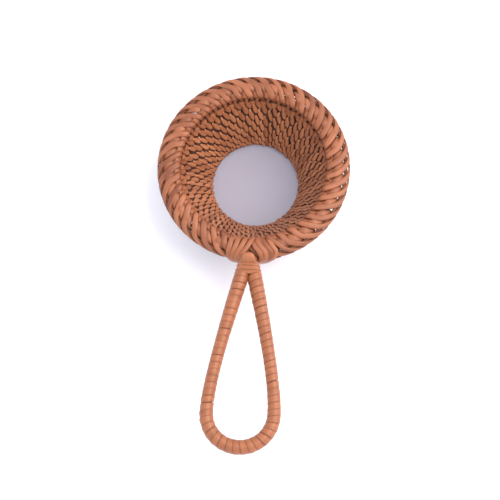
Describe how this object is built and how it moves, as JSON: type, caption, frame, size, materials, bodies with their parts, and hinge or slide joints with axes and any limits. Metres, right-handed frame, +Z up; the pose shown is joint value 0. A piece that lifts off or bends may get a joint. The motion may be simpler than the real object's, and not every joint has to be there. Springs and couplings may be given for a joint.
{
  "type": "tea strainer",
  "caption": "Hand-woven rattan tea strainer: a conical woven bowl with a rolled border, fine filter gauze at its foot and a wrapped loop handle.",
  "frame": {"origin": "middle of the bounding box in plan, at the level of the surface that the foot ring stands on", "axes": "+Z up along the bowl's own axis; -Y from the bowl towards the end of the loop handle; +X to the right with the handle towards the viewer"},
  "size_m": [0.081, 0.161, 0.0311],
  "materials": {
    "rattan_strand": "split rattan strands, satin, warm orange tan with darker gaps",
    "rattan_cane": "round rattan core cane, matt, fibrous",
    "rattan_skin": "flat rattan skin strip, smooth satin sheen",
    "filter_gauze": "very fine plain-woven filter gauze, off-white"
  },
  "bodies": {
    "root": {"stake_01": "rattan_strand", "stake_02": "rattan_strand", "stake_03": "rattan_strand", "stake_04": "rattan_strand", "stake_05": "rattan_strand", "stake_06": "rattan_strand", "stake_07": "rattan_strand", "stake_08": "rattan_strand", "stake_09": "rattan_strand", "stake_10": "rattan_strand", "stake_11": "rattan_strand", "stake_12": "rattan_strand", "stake_13": "rattan_strand", "stake_14": "rattan_strand", "stake_15": "rattan_strand", "stake_16": "rattan_strand", "stake_17": "rattan_strand", "stake_18": "rattan_strand", "stake_19": "rattan_strand", "stake_20": "rattan_strand", "stake_21": "rattan_strand", "stake_22": "rattan_strand", "stake_23": "rattan_strand", "stake_24": "rattan_strand", "stake_25": "rattan_strand", "stake_26": "rattan_strand", "stake_27": "rattan_strand", "stake_28": "rattan_strand", "stake_29": "rattan_strand", "stake_30": "rattan_strand", "stake_31": "rattan_strand", "stake_32": "rattan_strand", "stake_33": "rattan_strand", "stake_34": "rattan_strand", "stake_35": "rattan_strand", "stake_36": "rattan_strand", "stake_37": "rattan_strand", "stake_38": "rattan_strand", "stake_39": "rattan_strand", "stake_40": "rattan_strand", "stake_41": "rattan_strand", "stake_42": "rattan_strand", "weft_hoop_1": "rattan_cane", "weft_hoop_2": "rattan_cane", "weft_hoop_3": "rattan_cane", "weft_hoop_4": "rattan_cane", "weft_hoop_5": "rattan_cane", "weft_hoop_6": "rattan_cane", "crest_hoop": "rattan_cane", "rim_hoop_upper": "rattan_cane", "rim_hoop_lower": "rattan_cane", "foot_ring": "rattan_cane", "filter_gauze": "filter_gauze", "handle_core": "rattan_cane", "handle_wrap": "rattan_skin", "neck_binding": "rattan_skin", "neck_cap": "rattan_skin", "rim_lashing_left": "rattan_skin", "rim_lashing_right": "rattan_skin"}
  },
  "joints": []
}
